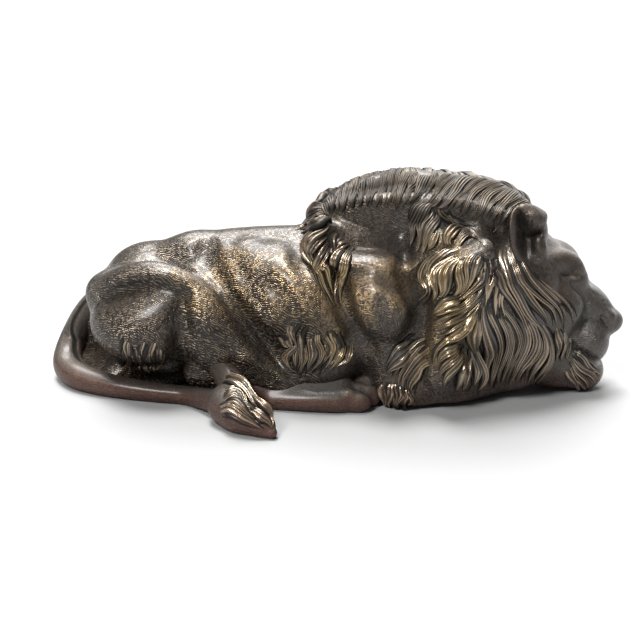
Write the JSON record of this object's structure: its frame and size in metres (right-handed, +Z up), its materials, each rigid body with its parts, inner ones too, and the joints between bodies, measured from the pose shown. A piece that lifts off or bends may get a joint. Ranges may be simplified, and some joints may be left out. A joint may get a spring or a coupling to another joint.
{
  "type": "reclining lion figure",
  "caption": "Cast bronze figure of a lion lying asleep with its chin on the ground, a long carved mane and its tail curled round the flank. It rests flat on its underside.",
  "frame": {"origin": "on the flat underside, on the lion's middle plane, about halfway along it", "axes": "+X along the body towards the head, +Z up, the tail's tuft lies on the -Y side"},
  "size_m": [0.2, 0.0882, 0.0778],
  "materials": {
    "bronze": "cast bronze with a dark brown patina, greenish in the recesses and rubbed golden on the high places"
  },
  "bodies": {
    "root": {"lion": "bronze"}
  },
  "joints": []
}
